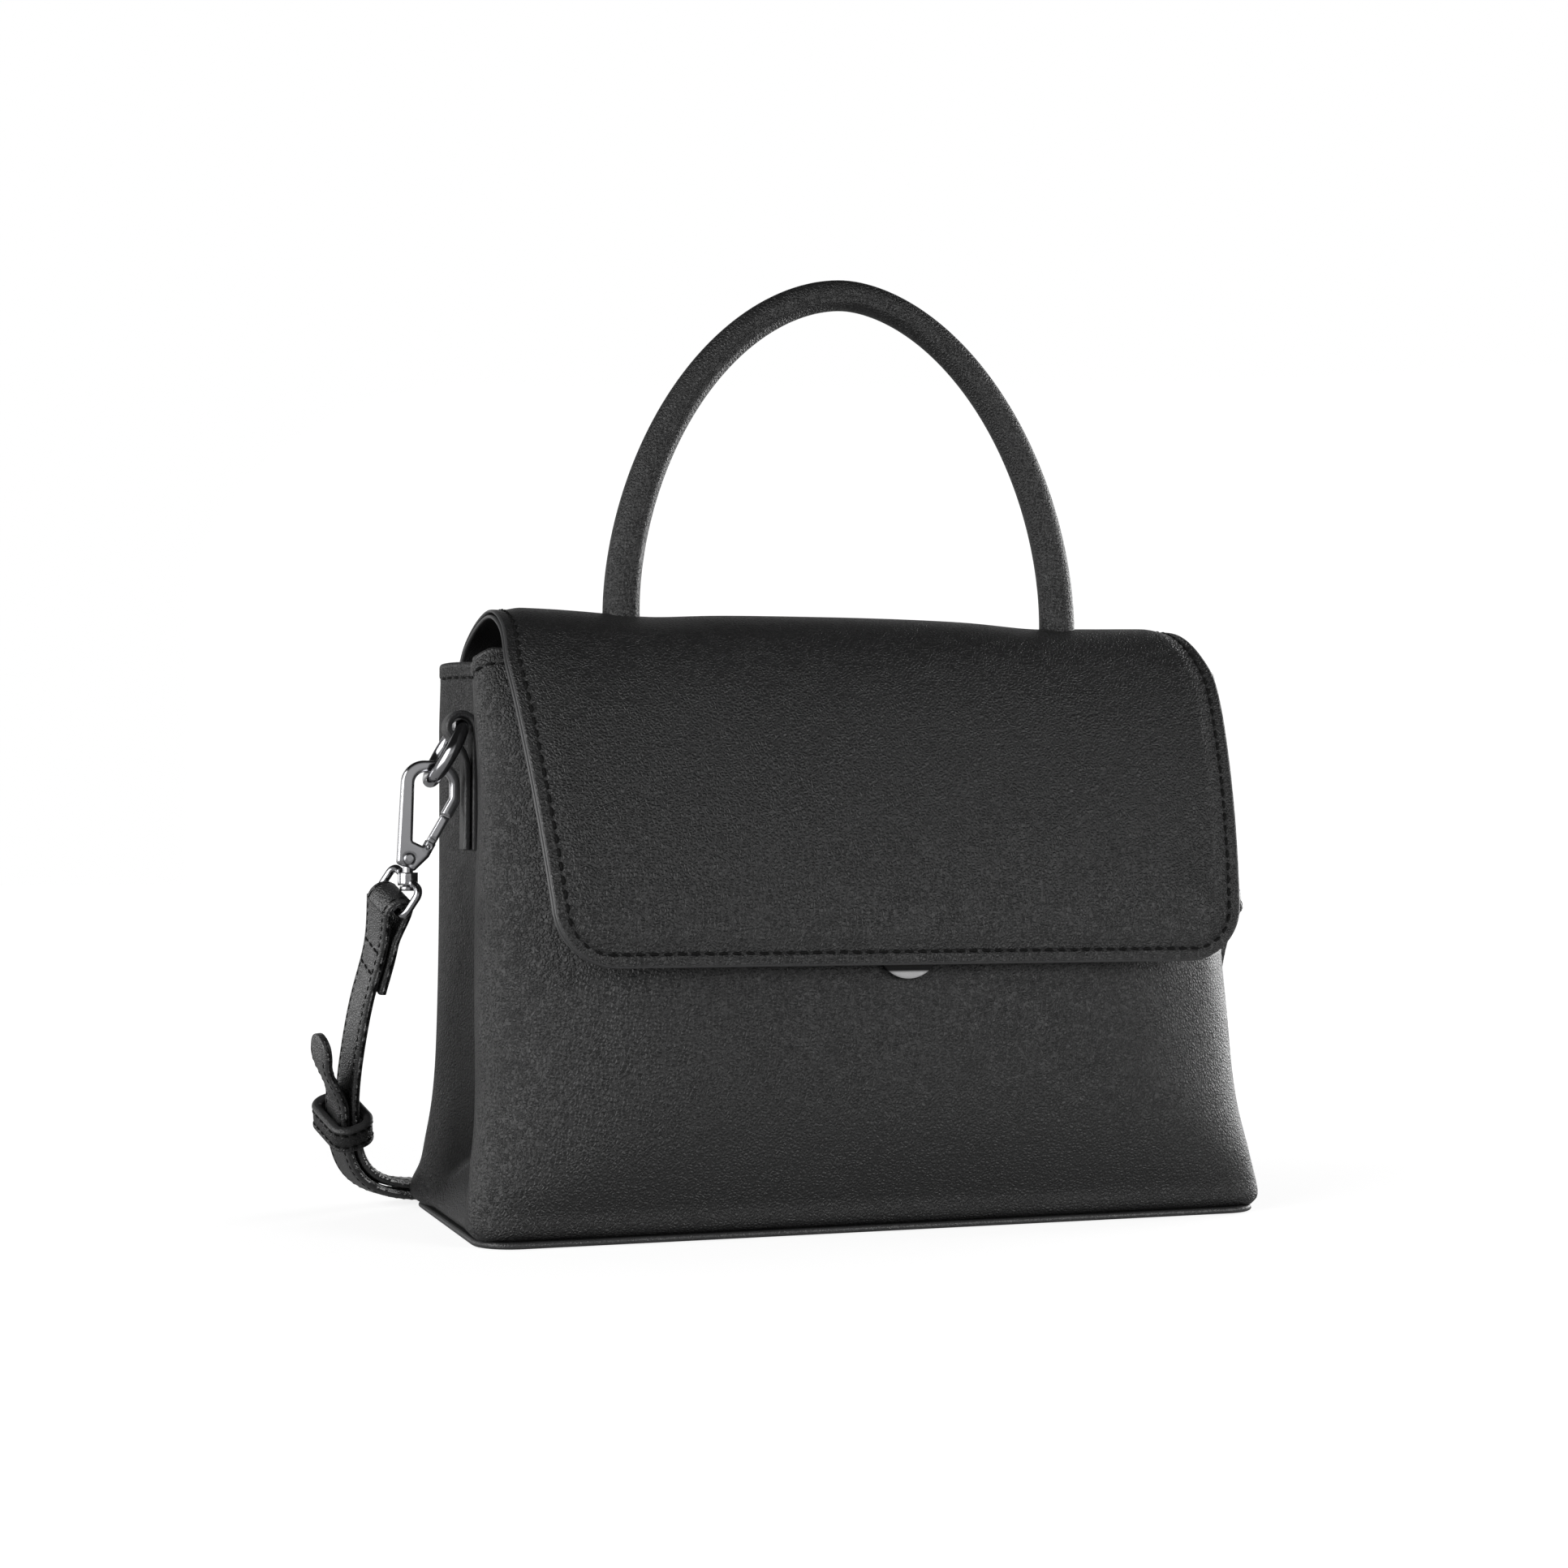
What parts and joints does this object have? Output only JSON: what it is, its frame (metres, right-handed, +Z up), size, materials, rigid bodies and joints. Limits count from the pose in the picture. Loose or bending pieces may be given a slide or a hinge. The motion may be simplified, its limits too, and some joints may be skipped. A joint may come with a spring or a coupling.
{
  "type": "top handle bag",
  "caption": "Black leather bag with a front flap, arched top handle, folded side gussets and a buckled shoulder strap on swivel snap hooks.",
  "frame": {"origin": "middle of the underside of the base panel", "axes": "+X towards the right of the picture, -Y the front with the flap, +Z up"},
  "size_m": [0.3316, 0.1475, 0.3045],
  "materials": {
    "leather": "satin, fine grain",
    "lining": "matte weave",
    "hardware": "polished, dark nickel",
    "lock": "polished",
    "magnet": "satin",
    "board": "matte",
    "rope": "twisted cord"
  },
  "bodies": {
    "bag": {"base_panel": "leather", "base_welt": "leather", "base_board": "board", "lining_base": "lining", "front_panel": "leather", "back_panel": "leather", "gusset_left": "leather", "gusset_right": "leather", "lining_front": "lining", "lining_back": "lining", "lining_left": "lining", "lining_right": "lining", "flap_strip": "leather", "lock_disc": "lock", "lock_magnet": "magnet", "tab_left": "leather", "tab_right": "leather", "swivel_eye_left": "hardware", "swivel_eye_right": "hardware", "strap_short": "leather", "strap_long": "leather", "buckle_frame": "hardware", "buckle_prong": "hardware"},
    "flap": {"flap_outer": "leather", "flap_core": "board", "flap_lining": "leather", "flap_magnet": "magnet", "handle_tail_left": "leather", "handle_tail_right": "leather"},
    "handle": {"handle_cover": "leather", "handle_core": "rope"},
    "left_ring": {"ring_left": "hardware"},
    "right_ring": {"ring_right": "hardware"},
    "left_hook": {"hook_left": "hardware", "gate_pin_left": "hardware", "swivel_post_left": "hardware"},
    "right_hook": {"hook_right": "hardware", "gate_pin_right": "hardware", "swivel_post_right": "hardware"},
    "left_gate": {"gate_left": "hardware"},
    "right_gate": {"gate_right": "hardware"},
    "keeper": {"strap_keeper": "leather"}
  },
  "joints": [
    {"name": "flap_hinge", "type": "hinge", "parent": "bag", "child": "flap", "pos_m": [0, 0.03689, 0.17919], "axis": [-1, 0, 0], "range_deg": [0, 130]},
    {"name": "handle_tilt", "type": "hinge", "parent": "flap", "child": "handle", "pos_m": [0, -0.0085, 0.19735], "axis": [1, 0, 0], "range_deg": [-35, 35]},
    {"name": "left_ring_swing", "type": "hinge", "parent": "bag", "child": "left_ring", "pos_m": [-0.12559, 0, 0.1556], "axis": [0, 1, 0], "range_deg": [-7, 0]},
    {"name": "left_hook_swivel", "type": "hinge", "parent": "bag", "child": "left_hook", "pos_m": [-0.14176, 0, 0.1095], "axis": [0, 0, 1], "range_deg": [-8, 8]},
    {"name": "left_gate_hinge", "type": "hinge", "parent": "left_hook", "child": "left_gate", "pos_m": [-0.13558, 0, 0.11809], "axis": [0, -1, 0], "range_deg": [0, 22], "stiffness_Nm_per_rad": 0.02, "springref_deg": -8.59},
    {"name": "right_ring_swing", "type": "hinge", "parent": "bag", "child": "right_ring", "pos_m": [0.12559, 0, 0.1556], "axis": [0, -1, 0], "range_deg": [-7, 0]},
    {"name": "right_hook_swivel", "type": "hinge", "parent": "bag", "child": "right_hook", "pos_m": [0.14176, 0, 0.1095], "axis": [0, 0, 1], "range_deg": [-8, 8]},
    {"name": "right_gate_hinge", "type": "hinge", "parent": "right_hook", "child": "right_gate", "pos_m": [0.13558, 0, 0.11809], "axis": [0, 1, 0], "range_deg": [0, 22], "stiffness_Nm_per_rad": 0.02, "springref_deg": -8.59},
    {"name": "keeper_slide", "type": "slide", "parent": "bag", "child": "keeper", "axis": [0.1607, 0.5286, -0.8335], "range_m": [-0.003, 0.003]}
  ]
}
